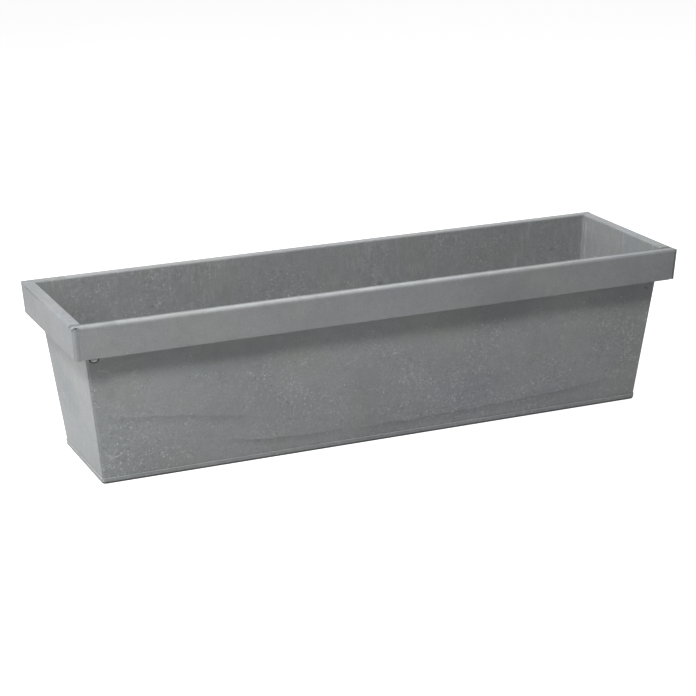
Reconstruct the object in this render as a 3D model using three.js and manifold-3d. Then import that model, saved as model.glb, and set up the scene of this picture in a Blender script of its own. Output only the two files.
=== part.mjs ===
// Window box planter folded from galvanised sheet steel.
// Four folded panels (wall, flat rim, hanging skirt with a hemmed edge) stand in a base pan, and a slip
// cleat closes each corner of the skirt. Millimetres, +Z up, origin under the middle of the base.
import * as THREE from 'three';
import { mergeVertices } from 'three/addons/utils/BufferGeometryUtils.js';
import Module from 'manifold-3d';

const wasm = await Module();
wasm.setup();

// Overall sizes
const rimLength = 762; // outside of the rim, left to right
const rimWidth = 220; // outside of the rim, front to back
const height = 198; // floor to the top of the rim
const wallLean = 22.5; // how far each wall runs in between rim and floor

// Sheet and folds
const sheet = 0.8; // panels and base pan
const bendRadius = 1.4; // inside radius of an ordinary bend
const rimEdgeRadius = 2.2; // inside radius of the rim's outer bend
const rimFlange = 14.4; // flat of the rim, skirt face to the inside of the wall
const skirtHeight = 38.4;
const skirtLean = 2.4; // how far the skirt's lower edge draws in
const hemHeight = 8; // edge folded up behind the skirt
const hemGap = 0.3; // left open inside the hem
const foldBackShare = 0.48; // bend radius of an edge folded back on itself, as a share of the layers' pitch
const footFlange = 9; // wall's lower edge, turned in to lie on the base
const lapWidth = 8; // tab of a long wall, lapped inside the end wall
const lapTopDrop = 5; // from the top of the rim down to the lap tab
const wallCorner = 3; // outside radius where two walls meet
const skirtCorner = 1.4; // outside radius where two skirts meet
const hemCorner = 0.5; // the same at the middle of the hem's sheet

// Base pan
const lipHeight = 7.2; // pan's edge, turned up outside the walls
const drainHoleDiameter = 10;
const drainHoleCount = 5;
const drainHolePitch = 130;

// Corner cleats and the hooks that they slide over
const cleatWidth = 7.2;
const cleatSheet = 0.5;
const cleatCrown = 0.8; // how far the cleat's face bulges
const cleatTopSlant = 2.4; // the cleat's open top, cut lower in front than behind
const seamSeat = 2.6; // how far the hooked edges lie behind the skirt's face
const joggleRun = 0.6; // along the skirt, while it steps in to the seam
const joggleBend = 0.1; // inside radius of that step
const cleatSetback = 0.9; // corner of the skirt to the near edge of the cleat
const hookSplit = 0.4; // between the two hooked edges

// A loose tab of the hem that hangs below the skirt near the front left corner
const looseTabFromCorner = 24;
const looseTabWidth = 12;
const looseTabDrop = 4.8;

// Clearances
const jointGap = 0.3; // panel to panel at the mitred corners, panel to pan
const layerGap = 0.25; // between the folded layers of a corner cleat
const lapGap = 0.7; // lap tab to the end wall, clear of the rounded corner

// Round stretches
const bendSteps = 5;
const holeSteps = 24;

// Sizes that follow from those above
const skirtBottom = height - skirtHeight;
const skirtSlope = skirtLean / skirtHeight;
const wallSlope = wallLean / height;
const hemPitch = sheet + hemGap;
const panelFoot = sheet + jointGap; // underside of the panels, on the base sheet
const hookPitch = sheet + cleatSheet + 2 * layerGap; // skirt sheet to hook, centre to centre
const hookBend = hookPitch * foldBackShare;
const hookReach = cleatWidth / 2 - cleatSheet - layerGap; // seam centre to the hook's free edge
const seamCentre = cleatSetback + cleatWidth / 2; // from the corner of the skirt
const underFlange = height - sheet - rimEdgeRadius - jointGap; // top of the skirt's corner folds
const hemDepth = sheet + hemPitch; // skirt face to the back of the hem
const cleatEnd = seamCentre + cleatWidth / 2; // from the corner of the skirt to the cleat's far edge
const notchLength = cleatEnd + jointGap; // room in the rim for the cleat, along the skirt
const notchDepth = seamSeat + jointGap;

// Distance in from the rim's outside plane to the outer face of a wall
function wallFace(z) {
  return rimFlange - sheet + wallSlope * (height - z);
}

// Outline of a folded sheet. Each corner of its centre line is [x, y, bend radius at the centre line].
// Every point of the outline keeps its place on the centre line and the number of the corner it belongs to.
function foldedOutline(corners, thickness) {
  const points = corners.map(([x, y]) => new THREE.Vector2(x, y));
  const left = [];
  const right = [];
  function place(spine, direction, corner) {
    const normal = new THREE.Vector2(-Math.sin(direction), Math.cos(direction));
    left.push({ point: spine.clone().addScaledVector(normal, thickness / 2), spine, corner });
    right.push({ point: spine.clone().addScaledVector(normal, -thickness / 2), spine, corner });
  }
  const heading = (from, to) => Math.atan2(to.y - from.y, to.x - from.x);
  const last = points.length - 1;
  place(points[0], heading(points[0], points[1]), 0);
  for (let i = 1; i < last; i += 1) {
    const before = heading(points[i - 1], points[i]);
    const after = heading(points[i], points[i + 1]);
    const turn = Math.atan2(Math.sin(after - before), Math.cos(after - before));
    const radius = corners[i][2];
    const side = Math.sign(turn);
    const tangent = radius * Math.tan(Math.abs(turn) / 2);
    const along = new THREE.Vector2(Math.cos(before), Math.sin(before));
    const start = points[i].clone().addScaledVector(along, -tangent);
    const centre = start.clone().add(new THREE.Vector2(-along.y, along.x).multiplyScalar(side * radius));
    for (let k = 0; k <= bendSteps; k += 1) {
      const direction = before + (turn * k) / bendSteps;
      const outward = new THREE.Vector2(Math.sin(direction), -Math.cos(direction));
      place(centre.clone().addScaledVector(outward, side * radius), direction, i);
    }
  }
  place(points[last], heading(points[last - 1], points[last]), last);
  return [...left, ...right.reverse()];
}

function foldedSheet(corners, thickness) {
  return new THREE.Shape(foldedOutline(corners, thickness).map(({ point }) => point));
}

function extrude(shape, depth) {
  return new THREE.ExtrudeGeometry(shape, { depth, bevelEnabled: false, curveSegments: holeSteps / 2 });
}

function solid(geometry) {
  const bare = geometry.clone();
  bare.deleteAttribute('normal');
  bare.deleteAttribute('uv');
  const merged = mergeVertices(bare, 1e-5);
  const mesh = new wasm.Mesh({
    numProp: 3,
    vertProperties: new Float32Array(merged.attributes.position.array),
    triVerts: new Uint32Array(merged.index.array),
  });
  return new wasm.Manifold(mesh);
}

function geometryOf(body) {
  const { vertProperties, triVerts } = body.getMesh();
  const geometry = new THREE.BufferGeometry();
  geometry.setAttribute('position', new THREE.BufferAttribute(new Float32Array(vertProperties), 3));
  geometry.setIndex(new THREE.BufferAttribute(new Uint32Array(triVerts), 1));
  geometry.computeVertexNormals();
  return geometry;
}

// Turns a cross-section (x inward, y up) run along z into a panel's frame: x along, y inward, z up.
function alongPanel(geometry, length) {
  const axes = new THREE.Matrix4().makeBasis(
    new THREE.Vector3(0, 1, 0),
    new THREE.Vector3(0, 0, 1),
    new THREE.Vector3(1, 0, 0),
  );
  return geometry.applyMatrix4(axes).translate(-length / 2, 0, 0);
}

// Upright prism on a plan outline, drawn in downwards as the skirt is. side is -1 or 1, the panel's end.
function skirtPrism(shape, bottom, top, side) {
  const geometry = extrude(shape, top - bottom).translate(0, 0, bottom);
  const lean = new THREE.Matrix4().set(
    1, 0, side * skirtSlope, -side * skirtSlope * height,
    0, 1, -skirtSlope, skirtSlope * height,
    0, 0, 1, 0,
    0, 0, 0, 1,
  );
  return geometry.applyMatrix4(lean);
}

function rectangle(x0, x1, y0, y1) {
  return new THREE.Shape([
    new THREE.Vector2(x0, y0),
    new THREE.Vector2(x1, y0),
    new THREE.Vector2(x1, y1),
    new THREE.Vector2(x0, y1),
  ]);
}

// Hem, skirt, rim, wall and foot folded all round the planter, as seen from one of its sides
function foldedShell(length, width) {
  const skirtFoot = skirtLean + sheet / 2;
  const hemTop = skirtBottom + hemHeight;
  const rimLevel = height - sheet / 2;
  const footLevel = panelFoot + sheet / 2;
  const wallTop = rimFlange - sheet / 2;
  const wallFoot = wallTop + wallSlope * (rimLevel - footLevel);
  const bend = bendRadius + sheet / 2;
  const hemBend = hemPitch * foldBackShare;
  const skirtTurn = skirtCorner - sheet / 2;
  const wallTurn = wallCorner - sheet / 2;
  // [inward, up, bend radius, radius in plan where two panels meet], all at the centre line
  const section = [
    [skirtFoot + hemPitch - skirtSlope * hemHeight, hemTop, 0, hemCorner],
    [skirtFoot + hemPitch, skirtBottom + sheet / 2, hemBend, hemCorner],
    [skirtFoot, skirtBottom + sheet / 2, hemBend, skirtTurn],
    [sheet / 2, rimLevel, rimEdgeRadius + sheet / 2, skirtTurn],
    [wallTop, rimLevel, bend, wallTurn],
    [wallFoot, footLevel, bend, wallTurn],
    [wallFoot + footFlange, footLevel, 0, wallTurn],
  ];
  const rings = foldedOutline(section, sheet).map(({ point, spine, corner }) => ({
    z: point.y,
    x: length / 2 - point.x,
    y: width / 2 - point.x,
    radius: section[corner][3] + spine.x - point.x,
  }));
  return loft([...rings, rings[0]], false).translate(0, width / 2, 0);
}

// One side's share of the folded shell, mitred at both ends
function foldedPanel(length, width) {
  return solid(foldedShell(length, width)).intersect(mitreWedge(length));
}

// Everything between the two 45 degree planes through a panel's corners
function mitreWedge(length) {
  const depth = rimFlange + wallLean + footFlange + rimFlange;
  const half = length / 2 - jointGap / Math.SQRT2;
  const plan = new THREE.Shape([
    new THREE.Vector2(-half, 0),
    new THREE.Vector2(half, 0),
    new THREE.Vector2(half - depth, depth),
    new THREE.Vector2(depth - half, depth),
  ]);
  return solid(extrude(plan, height * 1.5));
}

// Clears one end of a skirt, from the corner to a distance along it, below the rim
function skirtEndCut(length, side, reach) {
  const margin = 2 * hemDepth;
  const corner = (side * length) / 2;
  const inner = corner - side * reach;
  const outer = corner + side * margin;
  const plan = rectangle(Math.min(inner, outer), Math.max(inner, outer), -margin, margin);
  return solid(skirtPrism(plan, skirtBottom - margin, underFlange, side));
}

// A fold at one end of a skirt. Its centre line is given from the corner: [along, outward, bend radius].
function skirtFold(length, side, corners, thickness, bottom, top) {
  const placed = corners.map(([along, outward, radius]) => [side * (length / 2 - along), -outward, radius]);
  return skirtPrism(foldedSheet(placed, thickness), bottom, top, side);
}

// Room in the rim for the top of a cleat, from the corner to a distance along and inward
function rimNotch(length, side, along, inward) {
  const margin = 2 * hemDepth;
  const corner = (side * length) / 2;
  const near = corner - side * along;
  const far = corner + side * margin;
  const plan = rectangle(Math.min(near, far), Math.max(near, far), -margin, inward);
  return solid(skirtPrism(plan, underFlange - jointGap, height + margin, side));
}

// Skirt end that steps in to the seam and folds back into a hook for the cleat
function hookEnd(body, length, side) {
  const stepFoot = cleatEnd + jointGap + sheet / 2;
  const stepTop = stepFoot + joggleRun;
  const reach = stepTop + 2 * sheet;
  const hook = skirtFold(length, side, [
    [reach + 2 * sheet, -sheet / 2],
    [stepTop, -sheet / 2, joggleBend + sheet / 2],
    [stepFoot, -seamSeat - sheet / 2, joggleBend + sheet / 2],
    [seamCentre + hookSplit / 2 + sheet / 2, -seamSeat - sheet / 2, hookBend],
    [seamCentre + hookSplit / 2 + sheet / 2, hookPitch - seamSeat - sheet / 2, hookBend],
    [seamCentre + hookReach, hookPitch - seamSeat - sheet / 2],
  ], sheet, skirtBottom + sheet, underFlange);
  return body
    .subtract(skirtEndCut(length, side, reach))
    .subtract(rimNotch(length, side, notchLength, notchDepth))
    .add(solid(hook));
}

// Skirt end that turns the corner behind the neighbour's plane, then folds back into the other hook
function wrapEnd(body, length, side) {
  const reach = seamSeat + 2 * hemDepth;
  const wrap = skirtFold(length, side, [
    [reach + skirtCorner, -sheet / 2],
    [seamSeat + sheet / 2, -sheet / 2, skirtCorner - sheet / 2],
    [seamSeat + sheet / 2, hookSplit / 2 + sheet / 2 - seamCentre, hookBend],
    [seamSeat + sheet / 2 - hookPitch, hookSplit / 2 + sheet / 2 - seamCentre, hookBend],
    [seamSeat + sheet / 2 - hookPitch, hookReach - seamCentre],
  ], sheet, skirtBottom + sheet, underFlange);
  return body
    .subtract(skirtEndCut(length, side, reach))
    .subtract(rimNotch(length, side, notchDepth, notchLength))
    .add(solid(wrap));
}

// Lap tab: the strip of an end wall's inner side that a long wall reaches, on the long wall's side
function lapTab(side) {
  const bottom = panelFoot + sheet + bendRadius + jointGap;
  const top = height - lapTopDrop;
  const face = (z, inset) => wallFace(z) + sheet + inset;
  const slab = (near, far) => new THREE.Shape([
    new THREE.Vector2(face(bottom, near), bottom),
    new THREE.Vector2(face(bottom, far), bottom),
    new THREE.Vector2(face(top, far), top),
    new THREE.Vector2(face(top, near), top),
  ]);
  const alongWall = solid(alongPanel(extrude(slab(0, lapWidth), rimLength), rimLength));
  const besideEnd = extrude(slab(lapGap, lapGap + sheet), rimWidth)
    .rotateX(Math.PI / 2)
    .translate(0, rimWidth, 0);
  if (side < 0) {
    besideEnd.translate(-rimLength / 2, 0, 0);
  } else {
    besideEnd.translate(-rimLength / 2, -rimWidth, 0).rotateZ(Math.PI);
  }
  return alongWall.intersect(solid(besideEnd));
}

// Loose tab of the hem: a plate with a round lower edge behind the skirt
function looseTab() {
  const x = looseTabFromCorner - rimLength / 2;
  const root = skirtBottom + hemHeight / 2;
  const outline = new THREE.Shape();
  outline.moveTo(x - looseTabWidth / 2, root);
  outline.lineTo(x - looseTabWidth / 2, skirtBottom);
  outline.absellipse(x, skirtBottom, looseTabWidth / 2, looseTabDrop, Math.PI, 2 * Math.PI, false, 0);
  outline.lineTo(x + looseTabWidth / 2, root);
  const back = skirtLean + hemDepth;
  return solid(extrude(outline, sheet).rotateX(Math.PI / 2).translate(0, back, 0));
}

function longPanel(hookSide) {
  const body = hookEnd(foldedPanel(rimLength, rimWidth), rimLength, hookSide);
  return wrapEnd(body, rimLength, -hookSide).add(lapTab(-1)).add(lapTab(1));
}

function endPanel(finish) {
  return finish(finish(foldedPanel(rimWidth, rimLength), rimWidth, -1), rimWidth, 1);
}

// Slip cleat: a strip with both edges folded back and a bulging face, slid over the two hooks
function cornerCleat(length, side) {
  const edge = cleatWidth / 2 - cleatSheet / 2;
  const legLayer = layerGap + cleatSheet / 2 - seamSeat;
  const plateLayer = legLayer + hookPitch;
  const legTip = hookSplit / 2 + hookPitch / 2 + sheet / 2 + layerGap;
  const strip = skirtFold(length, side, [
    [seamCentre - legTip, legLayer],
    [seamCentre - edge, legLayer, hookBend],
    [seamCentre - edge, plateLayer, hookBend],
    [seamCentre, plateLayer + cleatCrown, cleatWidth],
    [seamCentre + edge, plateLayer, hookBend],
    [seamCentre + edge, legLayer, hookBend],
    [seamCentre + legTip, legLayer],
  ], cleatSheet, skirtBottom, height);
  const front = -hookPitch - seamSeat;
  const slant = cleatTopSlant / (notchDepth - front);
  const offcut = new THREE.Shape([
    new THREE.Vector2(notchDepth, height),
    new THREE.Vector2(front, height - slant * (notchDepth - front)),
    new THREE.Vector2(front, height + cleatWidth),
    new THREE.Vector2(notchDepth, height + cleatWidth),
  ]);
  return geometryOf(solid(strip).subtract(solid(alongPanel(extrude(offcut, length * 2), length * 2))));
}

// Body lofted through rounded rectangles: each ring is { z, x, y, radius } with half sizes x and y.
// Rings that come back to the first one need no caps.
function loft(rings, capped) {
  const positions = [];
  const faces = [];
  const count = 4 * (bendSteps + 1);
  for (const { z, x, y, radius } of rings) {
    for (let quarter = 0; quarter < 4; quarter += 1) {
      const signX = quarter === 0 || quarter === 3 ? 1 : -1;
      const signY = quarter < 2 ? 1 : -1;
      for (let k = 0; k <= bendSteps; k += 1) {
        const angle = (Math.PI / 2) * (quarter + k / bendSteps);
        positions.push(signX * (x - radius) + radius * Math.cos(angle));
        positions.push(signY * (y - radius) + radius * Math.sin(angle));
        positions.push(z);
      }
    }
  }
  for (let ring = 0; ring < rings.length - 1; ring += 1) {
    for (let i = 0; i < count; i += 1) {
      const a = ring * count + i;
      const b = ring * count + ((i + 1) % count);
      faces.push(a, b, b + count, a, b + count, a + count);
    }
  }
  const top = (rings.length - 1) * count;
  for (let i = 1; capped && i < count - 1; i += 1) {
    faces.push(0, i + 1, i, top, top + i, top + i + 1);
  }
  const geometry = new THREE.BufferGeometry();
  geometry.setAttribute('position', new THREE.Float32BufferAttribute(positions, 3));
  geometry.setIndex(faces);
  return geometry;
}

// Rings of the pan's outside or inside: a bend up from the level, then the leaning lip
function panRings(level, outsideWall, bend, cornerRadius, top) {
  const rings = [];
  const ringAt = (z, inset) => {
    const out = wallFace(z) - outsideWall + inset;
    return { z, x: rimLength / 2 - out, y: rimWidth / 2 - out, radius: cornerRadius };
  };
  for (let k = 0; k <= bendSteps; k += 1) {
    const angle = (Math.PI / 2) * (k / bendSteps);
    rings.push(ringAt(level + bend * (1 - Math.cos(angle)), bend * (1 - Math.sin(angle))));
  }
  rings.push(ringAt(top, 0));
  return rings;
}

function basePan() {
  const inner = wallCorner + jointGap;
  const outside = panRings(0, jointGap + sheet, bendRadius + sheet, inner + sheet, lipHeight);
  const inside = panRings(sheet, jointGap, bendRadius, inner, lipHeight + sheet);
  let body = solid(loft(outside, true)).subtract(solid(loft(inside, true)));
  for (let i = 0; i < drainHoleCount; i += 1) {
    const x = (i - (drainHoleCount - 1) / 2) * drainHolePitch;
    const radius = drainHoleDiameter / 2;
    const punch = new THREE.CylinderGeometry(radius, radius, 4 * sheet, holeSteps)
      .rotateX(Math.PI / 2)
      .translate(x, 0, 0);
    body = body.subtract(solid(punch));
  }
  return body;
}

const zincPanel = new THREE.MeshStandardMaterial({ color: 0x9a9d9c, roughness: 0.62, metalness: 0.35 });
const zincBase = new THREE.MeshStandardMaterial({ color: 0x8e9190, roughness: 0.66, metalness: 0.35 });
const zincCleat = new THREE.MeshStandardMaterial({ color: 0xa2a5a3, roughness: 0.58, metalness: 0.4 });

function piece(name, geometry, material, x = 0, y = 0, turn = 0) {
  const mesh = new THREE.Mesh(geometry, material);
  mesh.name = name;
  mesh.position.set(x, y, 0);
  mesh.rotation.z = turn;
  return mesh;
}

const planter = new THREE.Group();
planter.add(
  piece('front_panel', geometryOf(longPanel(-1).add(looseTab())), zincPanel, 0, -rimWidth / 2),
  piece('back_panel', geometryOf(longPanel(1)), zincPanel, 0, rimWidth / 2, Math.PI),
  piece('left_end_panel', geometryOf(endPanel(wrapEnd)), zincPanel, -rimLength / 2, 0, -Math.PI / 2),
  piece('right_end_panel', geometryOf(endPanel(hookEnd)), zincPanel, rimLength / 2, 0, Math.PI / 2),
  piece('base_pan', geometryOf(basePan()), zincBase),
  piece('corner_cleat_front_left', cornerCleat(rimLength, -1), zincCleat, 0, -rimWidth / 2),
  piece('corner_cleat_back_left', cornerCleat(rimLength, 1), zincCleat, 0, rimWidth / 2, Math.PI),
  piece('corner_cleat_front_right', cornerCleat(rimWidth, -1), zincCleat, rimLength / 2, 0, Math.PI / 2),
  piece('corner_cleat_back_right', cornerCleat(rimWidth, 1), zincCleat, rimLength / 2, 0, Math.PI / 2),
);

export default planter;
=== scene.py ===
from math import atan, cos, radians, sin

import bmesh
import bpy
from mathutils import Matrix, Vector


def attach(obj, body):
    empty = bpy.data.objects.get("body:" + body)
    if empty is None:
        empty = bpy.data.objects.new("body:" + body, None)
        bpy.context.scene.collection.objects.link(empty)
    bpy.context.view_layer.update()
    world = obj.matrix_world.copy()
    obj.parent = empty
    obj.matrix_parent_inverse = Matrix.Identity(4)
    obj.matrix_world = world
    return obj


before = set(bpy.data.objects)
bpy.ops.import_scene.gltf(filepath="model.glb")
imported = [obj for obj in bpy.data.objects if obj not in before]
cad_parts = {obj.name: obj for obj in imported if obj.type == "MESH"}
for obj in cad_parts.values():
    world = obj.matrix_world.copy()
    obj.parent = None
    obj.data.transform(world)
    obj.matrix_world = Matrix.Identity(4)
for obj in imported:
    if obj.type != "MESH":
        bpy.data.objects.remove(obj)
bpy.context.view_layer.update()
print("frame loaded:", len(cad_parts), "pieces")


def linear(hexColour):  # sRGB hex to linear RGBA
    parts = [int(hexColour[i:i + 2], 16) / 255 for i in (1, 3, 5)]
    return [c / 12.92 if c <= 0.04045 else ((c + 0.055) / 1.055) ** 2.4 for c in parts] + [1.0]


def addNode(tree, kind, inputs=None, **settings):  # an input is a value, or the node or socket it comes from
    node = tree.nodes.new("ShaderNode" + kind)
    for name, value in settings.items():
        setattr(node, name, value)
    for name, value in (inputs or {}).items():
        if isinstance(value, bpy.types.Node):
            value = next(socket for socket in value.outputs if socket.enabled)
        if isinstance(value, bpy.types.NodeSocket):
            tree.links.new(value, node.inputs[name])
        else:
            node.inputs[name].default_value = value
    return node


def combine(tree, operation, values):  # three or more made one, such as where several masks all hold
    total = values[0]
    for value in values[1:]:
        total = addNode(tree, "Math", {0: total, 1: value}, operation=operation)
    return total


cameraView = {
    "azimuth": -22.986, "elevation": 17.408, "roll": -0.93,  # degrees
    "distance": 2.52122,  # metres from the origin
    "right": 0.011282, "up": 0.088957,  # the picture's centre, off the origin
    "focalPixels": 2058.76, "pictureWidth": 696, "sensorWidth": 36, "clipEnd": 50,
}


def placeCamera(view):
    az, el, roll = (radians(view[name]) for name in ("azimuth", "elevation", "roll"))
    back = Vector((sin(az) * cos(el), -cos(az) * cos(el), sin(el)))
    level = (-back).cross(Vector((0, 0, 1))).normalized()
    upright = level.cross(-back)
    xAxis = level * cos(roll) + upright * sin(roll)
    yAxis = upright * cos(roll) - level * sin(roll)
    spot = back * view["distance"] - xAxis * view["right"] + yAxis * view["up"]
    turn = Matrix((xAxis, yAxis, back)).transposed().to_4x4()
    camera = bpy.data.objects.new("camera", bpy.data.cameras.new("camera"))
    bpy.context.scene.collection.objects.link(camera)
    camera.matrix_world = Matrix.Translation(spot) @ turn
    camera.data.sensor_width = view["sensorWidth"]
    camera.data.lens = view["sensorWidth"] * view["focalPixels"] / view["pictureWidth"]
    camera.data.clip_end = view["clipEnd"]
    bpy.context.scene.camera = camera


placeCamera(cameraView)
print("camera placed")

# Hot-dip galvanised steel sheet, weathered: a dull zinc patina, almost neutral grey, with dense pale flecks
# and short hairs of zinc salts, faint drips and light scratches from use, and painted shade and painted
# highlights in a few bands and along edges.
# Sizes and places are millimetres. A stretch under 1 draws a pattern out upright, and over 1 flattens it.
zincSheet = {
    # Besides real pits, the stain colour paints shade; besides real scratches, the scratch colour paints
    # highlights; the crack colour paints only shadow lines.
    "patina": "#8f9192", "cool": "#8c8f93", "warm": "#90928f", "shade": "#7d8081",
    "fleck": "#ced2d2", "pale": "#b9bdbe", "stainAndShade": "#4c4f50", "scratchAndHighlight": "#cfd2d1", "paintedShadow": "#1c1e1e",
    "metallic": 0.08, "roughness": 0.72, "roughnessDrift": 0.06, "specular": 0.2,
    "hueSize": 90, "cloudSize": 130, "cloudStretch": 1.6, "cloudShade": 0.5,
    "mottleSize": 11, "mottleContrast": 0.035, "grainSize": 1.4, "grainContrast": 0.07,
    "crumbSize": 4, "crumbLight": 0.4, "crumbDark": 0.32,
    "fleckCell": 4.2, "fleckRadius": 1.1, "fleckCore": 0.33, "fleckShare": 0.45, "fleckAmount": 1.0,
    "hairSize": 7, "hairPatch": 11.2, "hairBand": 0.028, "hairAmount": 0.7,  # band in noise values
    "dripWidth": 4, "dripStretch": 0.12, "dripAmount": 0.24, "dripOutside": 0.15,
    "dripPatch": 60, "dripPatchStretch": 0.6,
    "dentSize": 120, "dentDepth": 1.0, "grainDepth": 0.05,
}
# The base pan shows as the lip outside the walls' foot, with a painted highlight on its upper edge and a
# painted contact shadow where it stands: the strength of each, and the height where it begins and where it
# is full.
baseZinc = dict(zincSheet, lipHighlight=(0.4, 6.6, 6.9), footContactShadow=(0.85, 3.2, 1.9))
cleatZinc = dict(zincSheet, patina="#949696", fleckAmount=0.4, crumbLight=0.25)

# The painted light and shade on each zone, as a share of the plain colour: the inside and the ends' skirts
# are painted darker and the outside of the walls lighter. The zones meet at the middle of the walls' sheet,
# which slopes up from a reach at the floor, and at the foot of the skirt.
zones = {
    "inside": 0.893, "wall": 1.04, "skirt": 0.985, "endSkirt": 0.85,
    "wallSlope": 22.5 / 198, "frontReach": 73.5, "endReach": 344.5, "skirtFoot": (159, 160),
}
# The salts gather in patches, inside and low on the walls, and fewer of them on the ends.
saltSpread = {
    "patchSize": 75, "sparse": 0.25, "busyHeight": 118, "calmHeight": 152, "calm": 0.22, "endCalm": 0.4,
}
# Where each pattern is cut from its noise, so that no two of them line up.
shifts = {
    "even": (700, 200, 500), "cloud": (300, 900, 100), "hairPatch": (3100, 1700, 400),
    "drip": (900, 400, 0), "dripPatch": (1300, 2200, 0),
}

# Marks on the outside of one wall, the dark ones painted shade and the light ones scratches, each a stroke
# along x or y: the wall, its start and end as (along, height), how far its middle is bowed, its width above
# and below, and its strength.
paintedShadeMarks = (
    ("front", (-350, 80), (-150, 52), 4, 2.5, 13, 0.2),  # painted shade along the edges of shallow dents, here and in the next two
    ("front", (-205, 31), (-40, 21), -3, 2, 8, 0.26),
    ("front", (-60, 19), (330, 33), -4, 2, 10, 0.27),
    ("front", (346, 150), (353, 146), 0, 1.6, 1.6, 0.6),  # painted shade under the skirt's right corner
    ("left", (104, 195.5), (18, 195.8), 0.4, 0.8, 0.9, 0.6),  # painted shade along the crease of the rim's bend
    ("left", (180, 198.5), (-180, 198.5), 0, 8, 4, 0.26),  # painted shade that dims the lit left rim and its bend
)
lightMarks = (
    ("front", (-340, 34), (-316, 39), -2.5, 0.8, 0.8, 0.45),
    ("front", (-341, 29), (-322, 33), 1.5, 0.7, 0.7, 0.35),
    ("front", (-352, 141), (-331, 133), 2, 1.2, 1.2, 0.22),
    ("front", (120, 90), (138, 86), 2, 0.6, 0.6, 0.3),
)
strokeEdge = {"wobbleSize": 25, "wobbleReach": 2.5, "endFade": 0.2}  # the fade is a share of the stroke
wallSides = {"front": ("X", "Y", -55), "left": ("Y", "X", -330)}  # axis along, axis across, and past where

# The front rim has painted shade on its inner half, and its outer half is worn bright with a painted
# highlight, less to the right. Each comes in over bands along the axes: where one starts and ends, and how
# strong the mark is at either.
rimPaintedShade = {
    "strength": 0.55, "inFrontOf": -94,
    "bands": (("Z", 195.5, 196.5, 0, 1), ("Y", -102.5, -99.5, 0, 1), ("X", 100, 360, 1, 1.5)),
}
rimWearAndHighlight = {
    "strength": 0.2, "inFrontOf": -100, "spotSize": 30, "leastSpot": 0.35,
    "bands": (("Z", 196.2, 197.6, 0, 1), ("X", 100, 340, 1, 0)),
}
looseTabEdge = {
    "centre": (-357, 159.6), "radius": (5.3, 4.1), "width": 1.5, "below": 160.01, "inFrontOf": -100,
}


def insideMask(tree, axes):
    lean = addNode(tree, "Math", {0: axes["Z"], 1: zones["wallSlope"]}, operation="MULTIPLY")
    masks = []
    for axis, reach in (("X", zones["endReach"]), ("Y", zones["frontReach"])):
        across = addNode(tree, "Math", {0: axes[axis]}, operation="ABSOLUTE")
        foot = addNode(tree, "Math", {0: across, 1: lean}, operation="SUBTRACT")
        masks.append(addNode(tree, "Math", {0: foot, 1: reach}, operation="LESS_THAN"))
    return addNode(tree, "Math", {0: masks[0], 1: masks[1]}, operation="MULTIPLY")


def endMask(tree):  # faces that look along x
    normal = addNode(tree, "TexCoord").outputs["Normal"]
    facing = addNode(tree, "SeparateXYZ", {"Vector": normal}).outputs["X"]
    either = addNode(tree, "Math", {0: facing}, operation="ABSOLUTE")
    return addNode(tree, "MapRange", {"Value": either, "From Min": 0.6, "From Max": 0.8})


def hueLayers(tree, place, cloud, finish):  # slow drifts between warm, cool, even and shaded zinc
    drift = addNode(tree, "TexNoise", {
        "Vector": place, "Scale": 1 / finish["hueSize"], "Detail": 3.0, "Roughness": 0.55})
    cool = addNode(tree, "MapRange", {"Value": drift, "From Min": 0.38, "From Max": 0.62})
    elsewhere = addNode(tree, "Mapping", {"Vector": place, "Location": shifts["even"]})
    calmer = addNode(tree, "TexNoise", {"Vector": elsewhere, "Scale": 1 / finish["hueSize"]})
    even = addNode(tree, "MapRange", {"Value": calmer, "From Min": 0.35, "From Max": 0.65})
    shade = addNode(tree, "MapRange", {
        "Value": cloud, "From Min": 0.45, "From Max": 0.8, "To Max": finish["cloudShade"]})
    return [(cool, "cool"), (even, "patina"), (shade, "shade")]


def strokeMask(tree, axes, wobble, mark):
    wall, (startAlong, startHeight), (endAlong, endHeight), bow, rise, fall, strength = mark
    alongAxis, acrossAxis, past = wallSides[wall]
    share = addNode(tree, "MapRange", {
        "Value": axes[alongAxis], "From Min": startAlong, "From Max": endAlong})
    left = addNode(tree, "Math", {0: 1.0, 1: share}, operation="SUBTRACT")
    bowed = combine(tree, "MULTIPLY", [share, left, 4 * bow])  # the whole bow at half way
    level = addNode(tree, "MapRange", {"Value": share, "To Min": startHeight, "To Max": endHeight})
    line = combine(tree, "ADD", [level, bowed, wobble])
    over = addNode(tree, "Math", {0: axes["Z"], 1: line}, operation="SUBTRACT")
    upper = addNode(tree, "MapRange", {"Value": over, "From Min": rise, "From Max": 0.0},
                    interpolation_type="SMOOTHSTEP")
    lower = addNode(tree, "MapRange", {"Value": over, "From Min": -fall, "From Max": 0.0})
    fade = strokeEdge["endFade"]
    starts = addNode(tree, "MapRange", {"Value": share, "From Min": 0.0, "From Max": fade})
    stops = addNode(tree, "MapRange", {"Value": share, "From Min": 1.0, "From Max": 1.0 - fade})
    onWall = addNode(tree, "Math", {0: axes[acrossAxis], 1: past}, operation="LESS_THAN")
    return combine(tree, "MULTIPLY", [upper, lower, starts, stops, onWall, strength])


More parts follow.
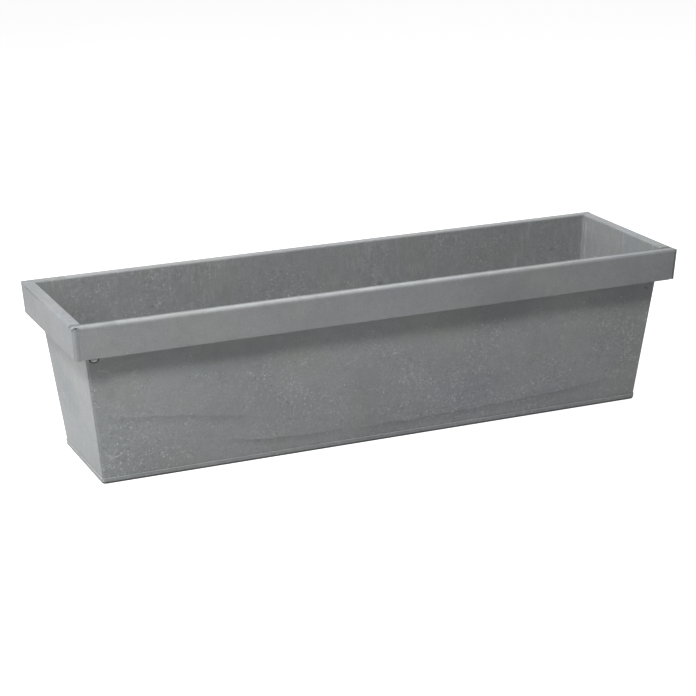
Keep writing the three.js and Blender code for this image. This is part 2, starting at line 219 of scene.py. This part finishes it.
def markLayers(tree, place, axes, outside):
    ripple = addNode(tree, "TexNoise", {"Vector": place, "Scale": 1 / strokeEdge["wobbleSize"]})
    reach = strokeEdge["wobbleReach"]
    wobble = addNode(tree, "MapRange", {
        "Value": ripple, "From Min": 0.2, "From Max": 0.8, "To Min": -reach, "To Max": reach})
    layers = []
    # the dark strokes are painted shade, the light strokes scratches
    for marks, colour in ((paintedShadeMarks, "stainAndShade"), (lightMarks, "scratchAndHighlight")):
        strokes = combine(tree, "MAXIMUM", [strokeMask(tree, axes, wobble, mark) for mark in marks])
        shown = addNode(tree, "Math", {0: strokes, 1: outside}, operation="MULTIPLY")
        layers.append((shown, colour))
    return layers


def clusterMask(tree, place, axes, inside, ends):  # where the salts gather
    patch = addNode(tree, "TexNoise", {
        "Vector": place, "Scale": 1 / saltSpread["patchSize"], "Detail": 5.0, "Roughness": 0.7})
    patchy = addNode(tree, "MapRange", {
        "Value": patch, "From Min": 0.4, "From Max": 0.62, "To Min": saltSpread["sparse"]},
        interpolation_type="SMOOTHSTEP")
    low = addNode(tree, "MapRange", {
        "Value": axes["Z"], "From Min": saltSpread["calmHeight"], "From Max": saltSpread["busyHeight"],
        "To Min": saltSpread["calm"]})
    busy = addNode(tree, "Math", {0: low, 1: inside}, operation="MAXIMUM")
    fewer = addNode(tree, "MapRange", {"Value": ends, "To Min": 1.0, "To Max": saltSpread["endCalm"]})
    return combine(tree, "MULTIPLY", [patchy, busy, fewer])


def fleckMask(tree, place, finish):  # small bright dots in some of the cells
    cell = finish["fleckCell"]
    cells = addNode(tree, "TexVoronoi", {"Vector": place, "Scale": 1 / cell}).outputs
    dot = addNode(tree, "MapRange", {
        "Value": cells["Distance"],
        "From Min": finish["fleckRadius"] / cell, "From Max": finish["fleckCore"] / cell})
    chosen = addNode(tree, "SeparateColor", {"Color": cells["Color"]}).outputs["Red"]
    bright = addNode(tree, "MapRange", {"Value": chosen, "From Min": 1.0 - finish["fleckShare"]})
    return addNode(tree, "Math", {0: dot, 1: bright}, operation="MULTIPLY")


def hairMask(tree, place, finish):  # short curved hairs: bits of a noise's contour lines
    field = addNode(tree, "TexNoise", {"Vector": place, "Scale": 1 / finish["hairSize"], "Detail": 1.0})
    above = addNode(tree, "Math", {0: field, 1: 0.5}, operation="SUBTRACT")
    off = addNode(tree, "Math", {0: above}, operation="ABSOLUTE")
    line = addNode(tree, "MapRange", {"Value": off, "From Min": finish["hairBand"], "From Max": 0.0})
    elsewhere = addNode(tree, "Mapping", {"Vector": place, "Location": shifts["hairPatch"]})
    patch = addNode(tree, "TexNoise", {"Vector": elsewhere, "Scale": 1 / finish["hairPatch"]})
    cut = addNode(tree, "MapRange", {"Value": patch, "From Min": 0.5, "From Max": 0.62})
    return addNode(tree, "Math", {0: line, 1: cut}, operation="MULTIPLY")


def dripMask(tree, place, finish):  # faint upright runs
    drawnOut = addNode(tree, "Mapping", {
        "Vector": place, "Location": shifts["drip"], "Scale": (1.0, 1.0, finish["dripStretch"])})
    thin = addNode(tree, "TexNoise", {"Vector": drawnOut, "Scale": 1 / finish["dripWidth"]})
    runs = addNode(tree, "MapRange", {"Value": thin, "From Min": 0.5, "From Max": 0.7})
    elsewhere = addNode(tree, "Mapping", {
        "Vector": place, "Location": shifts["dripPatch"], "Scale": (1.0, 1.0, finish["dripPatchStretch"])})
    patch = addNode(tree, "TexNoise", {"Vector": elsewhere, "Scale": 1 / finish["dripPatch"]})
    cut = addNode(tree, "MapRange", {"Value": patch, "From Min": 0.45, "From Max": 0.6})
    return addNode(tree, "Math", {0: runs, 1: cut}, operation="MULTIPLY")


def saltLayers(tree, place, axes, inside, ends, finish):
    cluster = clusterMask(tree, place, axes, inside, ends)
    crumbs = addNode(tree, "TexNoise", {
        "Vector": place, "Scale": 1 / finish["crumbSize"], "Detail": 3.0, "Roughness": 0.6})
    hollows = addNode(tree, "MapRange", {"Value": crumbs, "From Min": 0.42, "From Max": 0.3})
    heaps = addNode(tree, "MapRange", {"Value": crumbs, "From Min": 0.56, "From Max": 0.7})
    wet = addNode(tree, "MapRange", {"Value": inside, "To Min": finish["dripOutside"]})
    pits = combine(tree, "MULTIPLY", [hollows, cluster, finish["crumbDark"]])
    salts = combine(tree, "MAXIMUM", [
        combine(tree, "MULTIPLY", [heaps, cluster, finish["crumbLight"]]),
        combine(tree, "MULTIPLY", [hairMask(tree, place, finish), cluster, finish["hairAmount"]]),
        combine(tree, "MULTIPLY", [dripMask(tree, place, finish), wet, finish["dripAmount"]])])
    flecks = combine(tree, "MULTIPLY", [fleckMask(tree, place, finish), cluster, finish["fleckAmount"]])
    return [(pits, "stainAndShade"), (salts, "pale"), (flecks, "fleck")]


def lipLayers(tree, axes, outside, finish):  # the base pan's edge: a painted highlight on the lip and a painted contact shadow at the foot
    layers = []
    for mark, colour in (("lipHighlight", "scratchAndHighlight"), ("footContactShadow", "paintedShadow")):
        strength, begins, full = finish[mark]
        band = addNode(tree, "MapRange", {"Value": axes["Z"], "From Min": begins, "From Max": full})
        layers.append((combine(tree, "MULTIPLY", [band, outside, strength]), colour))
    return layers


def rimMask(tree, axes, mark):
    front = addNode(tree, "Math", {0: axes["Y"], 1: mark["inFrontOf"]}, operation="LESS_THAN")
    masks = [front, mark["strength"]]
    for axis, start, end, atStart, atEnd in mark["bands"]:
        masks.append(addNode(tree, "MapRange", {
            "Value": axes[axis], "From Min": start, "From Max": end, "To Min": atStart, "To Max": atEnd}))
    return combine(tree, "MULTIPLY", masks)


def rimLayers(tree, place, axes):
    # painted shade on the rim's inner half, and wear with a painted highlight on its outer bend
    spots = addNode(tree, "TexNoise", {"Vector": place, "Scale": 1 / rimWearAndHighlight["spotSize"], "Detail": 3.0})
    uneven = addNode(tree, "MapRange", {
        "Value": spots, "From Min": 0.4, "From Max": 0.6, "To Min": rimWearAndHighlight["leastSpot"]})
    wearAndHighlight = addNode(tree, "Math", {0: rimMask(tree, axes, rimWearAndHighlight), 1: uneven}, operation="MULTIPLY")
    return [(rimMask(tree, axes, rimPaintedShade), "stainAndShade"), (wearAndHighlight, "scratchAndHighlight")]


def tabEdgeMask(tree, place, axes, edge):  # painted shadow: a dark line round the lower edge of the loose tab under the skirt
    (x, z), (radiusX, radiusZ) = edge["centre"], edge["radius"]
    away = addNode(tree, "VectorMath", {0: place, 1: (x, 0, z)}, operation="SUBTRACT")
    rounded = addNode(tree, "VectorMath", {0: away, 1: (1 / radiusX, 0, 1 / radiusZ)}, operation="MULTIPLY")
    reach = addNode(tree, "VectorMath", {0: rounded}, operation="LENGTH")
    beyond = addNode(tree, "Math", {0: reach, 1: 1.0}, operation="SUBTRACT")
    off = addNode(tree, "Math", {0: beyond}, operation="ABSOLUTE")
    ring = addNode(tree, "MapRange", {
        "Value": off, "From Min": edge["width"] / radiusZ, "From Max": 0.0}, interpolation_type="SMOOTHSTEP")
    low = addNode(tree, "Math", {0: axes["Z"], 1: edge["below"]}, operation="LESS_THAN")
    front = addNode(tree, "Math", {0: axes["Y"], 1: edge["inFrontOf"]}, operation="LESS_THAN")
    return combine(tree, "MULTIPLY", [ring, low, front])


def paintedLightLevel(tree, axes, inside, ends):  # painted light and shade: how much of the plain colour each zone keeps
    skirt = addNode(tree, "MapRange", {"Value": ends, "To Min": zones["skirt"], "To Max": zones["endSkirt"]})
    low, high = zones["skirtFoot"]
    outer = addNode(tree, "MapRange", {
        "Value": axes["Z"], "From Min": low, "From Max": high, "To Min": zones["wall"], "To Max": skirt})
    return addNode(tree, "MapRange", {"Value": inside, "To Min": outer, "To Max": zones["inside"]})


def sheetMaterial(name, finish):
    material = bpy.data.materials.new(name)
    material.use_nodes = True
    tree = material.node_tree
    tree.nodes.clear()
    metres = addNode(tree, "TexCoord").outputs["Object"]
    place = addNode(tree, "VectorMath", {0: metres, "Scale": 1000.0}, operation="SCALE")  # millimetres
    axes = addNode(tree, "SeparateXYZ", {"Vector": place}).outputs
    inside = insideMask(tree, axes)
    outside = addNode(tree, "Math", {0: 1.0, 1: inside}, operation="SUBTRACT")
    ends = endMask(tree)
    flattened = addNode(tree, "Mapping", {
        "Vector": place, "Location": shifts["cloud"], "Scale": (1.0, 1.0, finish["cloudStretch"])})
    cloud = addNode(tree, "TexNoise", {
        "Vector": flattened, "Scale": 1 / finish["cloudSize"], "Detail": 3.0, "Roughness": 0.6})

    layers = hueLayers(tree, place, cloud, finish)
    layers += markLayers(tree, place, axes, outside)
    layers += saltLayers(tree, place, axes, inside, ends, finish)
    if "footContactShadow" in finish:
        layers += lipLayers(tree, axes, outside, finish)
    layers += rimLayers(tree, place, axes)
    layers.append((tabEdgeMask(tree, place, axes, looseTabEdge), "paintedShadow"))
    colour = linear(finish["warm"])
    for amount, coat in layers:  # each over the ones before it
        colour = addNode(tree, "Mix", {0: amount, 6: colour, 7: linear(finish[coat])}, data_type="RGBA")

    grain = addNode(tree, "TexNoise", {"Vector": place, "Scale": 1 / finish["grainSize"]})
    mottle = addNode(tree, "TexNoise", {"Vector": place, "Scale": 1 / finish["mottleSize"]})
    levels = [paintedLightLevel(tree, axes, inside, ends)]
    for pattern, contrast in ((grain, finish["grainContrast"]), (mottle, finish["mottleContrast"])):
        levels.append(addNode(tree, "MapRange", {
            "Value": pattern, "From Min": 0.3, "From Max": 0.7,
            "To Min": 1.0 - contrast, "To Max": 1.0 + contrast}))
    level = combine(tree, "MULTIPLY", levels)
    colour = addNode(tree, "VectorMath", {0: colour, "Scale": level}, operation="SCALE")

    roughness = addNode(tree, "MapRange", {
        "Value": cloud, "From Min": 0.3, "From Max": 0.7,
        "To Min": finish["roughness"] - finish["roughnessDrift"],
        "To Max": finish["roughness"] + finish["roughnessDrift"]})
    waves = addNode(tree, "TexNoise", {"Vector": place, "Scale": 1 / finish["dentSize"], "Detail": 1.0})
    dents = addNode(tree, "Bump", {"Height": waves, "Distance": finish["dentDepth"] / 1000})  # in metres
    bump = addNode(tree, "Bump", {
        "Height": grain, "Distance": finish["grainDepth"] / 1000, "Normal": dents})
    surface = addNode(tree, "BsdfPrincipled", {
        "Base Color": colour, "Metallic": finish["metallic"], "Roughness": roughness,
        "Specular IOR Level": finish["specular"], "Normal": bump})
    addNode(tree, "OutputMaterial", {"Surface": surface})
    return material


panelMaterial = sheetMaterial("galvanised_sheet_weathered", zincSheet)
baseMaterial = sheetMaterial("galvanised_base_pan_weathered", baseZinc)
cleatMaterial = sheetMaterial("galvanised_cleat_strip", cleatZinc)
for name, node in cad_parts.items():
    material = baseMaterial if name == "base_pan" else cleatMaterial if "cleat" in name else panelMaterial
    node.data.materials.clear()
    node.data.materials.append(material)
print("materials done")

# The cleats' inner edges, dressed down over the step in the skirt. Millimetres.
# A strip runs up the corner at start from it along the face, and falls away from its crest to nothing.
cleatEdge = {
    "name": "cleat_edge", "cornerAtFloor": (368.63, 97.63), "slope": 2.4 / 38.4, "leansOut": 1,
    "bottom": 160.1, "top": 195.4, "start": 6.3, "reach": 4.7, "proud": 0.22, "sink": 0.45, "fall": 0.25,
    "round": 0.3, "roundSteps": 3, "cuts": 8, "wander": 0.05,
    "corners": {  # side of x and y, 1 or -1 for mirrored, and its turn about the upright in degrees
        "front_left": (-1, -1, 1, 0), "back_left": (-1, 1, -1, 0),
        "front_right": (1, -1, 1, 90), "back_right": (1, 1, -1, -90),
    },
}
# Beads of solder that fill the step from each lap tab to the end wall, inside the corners. Millimetres.
lapBead = {
    "name": "lap_bead", "cornerAtFloor": (344.14, 73.14), "slope": 22.5 / 198, "leansOut": -1,
    "bottom": 4.5, "top": 192.5, "start": 7.6, "reach": 2.5, "proud": 1.75, "sink": 0.3, "fall": 1.85,
    "round": 0.45, "roundSteps": 3, "cuts": 40, "wander": 0.12,
    "corners": {
        "front_left": (-1, -1, 1, 90), "back_left": (-1, 1, -1, -90),
        "front_right": (1, -1, -1, 90), "back_right": (1, 1, 1, -90),
    },
}


def selectLongEdges(strip, wanted):  # the edges that run up the strip and pass the test
    bpy.ops.mesh.select_all(action="DESELECT")
    mesh = bmesh.from_edit_mesh(strip.data)
    for edge in mesh.edges:
        first, second = (corner.co for corner in edge.verts)
        upright = abs(first.z - second.z) > 10 * (abs(first.x - second.x) + abs(first.y - second.y))
        edge.select_set(upright and wanted(first))
    bmesh.update_edit_mesh(strip.data)


def makeStrip(shape):  # along +X from the corner, its crest towards -Y
    middleX = (shape["start"] + shape["reach"] / 2) / 1000
    middleY = (shape["sink"] - shape["proud"]) / 2000
    size = (shape["reach"], shape["proud"] + shape["sink"], shape["top"] - shape["bottom"])
    bpy.ops.object.select_all(action="DESELECT")
    bpy.ops.mesh.primitive_cube_add(size=0.001, location=(middleX, middleY, 0), scale=size)
    bpy.ops.object.transform_apply()
    strip = bpy.context.object

    bpy.ops.object.mode_set(mode="EDIT")
    bpy.ops.mesh.select_mode(type="EDGE")
    selectLongEdges(strip, lambda place: place.x > middleX and place.y < middleY)
    bpy.ops.transform.translate(value=(0, shape["fall"] / 1000, 0))
    selectLongEdges(strip, lambda place: place.x < middleX and place.y < middleY)
    bpy.ops.mesh.bevel(offset=shape["round"] / 1000, segments=shape["roundSteps"], affect="EDGES")
    selectLongEdges(strip, lambda place: True)
    bpy.ops.mesh.subdivide(number_cuts=shape["cuts"])
    bpy.ops.mesh.select_all(action="SELECT")
    bpy.ops.transform.vertex_random(offset=shape["wander"] / 1000, seed=3)  # dressed by hand
    bpy.ops.object.mode_set(mode="OBJECT")

    lean = atan(shape["slope"])
    strip.rotation_euler = (shape["leansOut"] * lean, -lean, 0)
    bpy.ops.object.transform_apply()
    bpy.ops.object.shade_smooth_by_angle(angle=radians(50))
    return strip


def addCornerStrips(shape, material):
    strip = makeStrip(shape)
    height = (shape["bottom"] + shape["top"]) / 2
    reachX, reachY = (foot + shape["slope"] * height for foot in shape["cornerAtFloor"])
    for corner, (sideX, sideY, mirror, turn) in shape["corners"].items():
        bpy.ops.object.select_all(action="DESELECT")
        strip.select_set(True)
        bpy.context.view_layer.objects.active = strip
        bpy.ops.object.duplicate()
        piece = bpy.context.object
        piece.name = shape["name"] + "_" + corner
        piece.location = (sideX * reachX / 1000, sideY * reachY / 1000, height / 1000)
        piece.rotation_euler.z = radians(turn)
        piece.scale.y = mirror
        bpy.ops.object.transform_apply()
        bpy.ops.object.mode_set(mode="EDIT")
        bpy.ops.mesh.select_all(action="SELECT")
        bpy.ops.mesh.normals_make_consistent(inside=False)
        bpy.ops.object.mode_set(mode="OBJECT")
        piece.data.materials.append(material)
        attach(piece, "root")
    bpy.data.objects.remove(strip)


addCornerStrips(cleatEdge, cleatMaterial)
print("cleat edges done")
addCornerStrips(lapBead, panelMaterial)
print("lap beads done")

studio = {
    "floorColour": "#c2c2c2", "floorSize": 12, "floorGlow": "#f4f4f4",
    "lamps": (  # name, watts, size and place in metres
        ("overhead_softbox", 23, 2.0, (-0.2, 0.1, 2.2)),
        ("front_left_softbox", 31.5, 0.35, (-1.1, -0.9, 1.5)),
        ("low_left_panel", 7, 0.8, (-1.2, 0.1, 0.5)),
        ("back_right_softbox", 16, 1.2, (0.7, 1.6, 1.1)),
    ),
    "lampTarget": (0, 0, 0.1), "worldColour": "#ffffff", "worldStrength": 0.06,
}


def seenDirectly(tree):  # 1 for what the camera, a reflection or glass sees
    path = addNode(tree, "LightPath").outputs
    rays = [path[ray] for ray in ("Is Camera Ray", "Is Glossy Ray", "Is Transmission Ray")]
    return combine(tree, "MAXIMUM", rays)


def buildFloor(settings):
    bpy.ops.object.select_all(action="DESELECT")
    bpy.ops.mesh.primitive_plane_add(size=settings["floorSize"])
    floor = bpy.context.object
    floor.name = "studio_floor"
    material = bpy.data.materials.new("pale_studio_floor")
    material.use_nodes = True
    tree = material.node_tree
    tree.nodes.clear()
    matt = addNode(tree, "BsdfDiffuse", {"Color": linear(settings["floorColour"])})
    glow = addNode(tree, "Emission", {
        "Color": linear(settings["floorGlow"]), "Strength": seenDirectly(tree)})
    addNode(tree, "OutputMaterial", {"Surface": addNode(tree, "AddShader", {0: matt, 1: glow})})
    floor.data.materials.append(material)


def addLamp(name, power, size, spot, target):
    lamp = bpy.data.objects.new(name, bpy.data.lights.new(name, "AREA"))
    lamp.data.energy = power
    lamp.data.shape = "SQUARE"
    lamp.data.size = size
    lamp.location = spot
    lamp.rotation_euler = (Vector(target) - Vector(spot)).to_track_quat("-Z", "Y").to_euler()
    bpy.context.scene.collection.objects.link(lamp)


def lightWorld(settings):
    world = bpy.data.worlds.new("studio")
    bpy.context.scene.world = world
    world.use_nodes = True
    tree = world.node_tree
    tree.nodes.clear()
    strength = addNode(tree, "MapRange", {
        "Value": seenDirectly(tree), "To Min": settings["worldStrength"], "To Max": 1.0})
    sky = addNode(tree, "Background", {"Color": linear(settings["worldColour"]), "Strength": strength})
    addNode(tree, "OutputWorld", {"Surface": sky})


buildFloor(studio)
for lamp in studio["lamps"]:
    addLamp(*lamp, studio["lampTarget"])
lightWorld(studio)
bpy.context.scene.view_settings.view_transform = "Standard"
print("studio done")
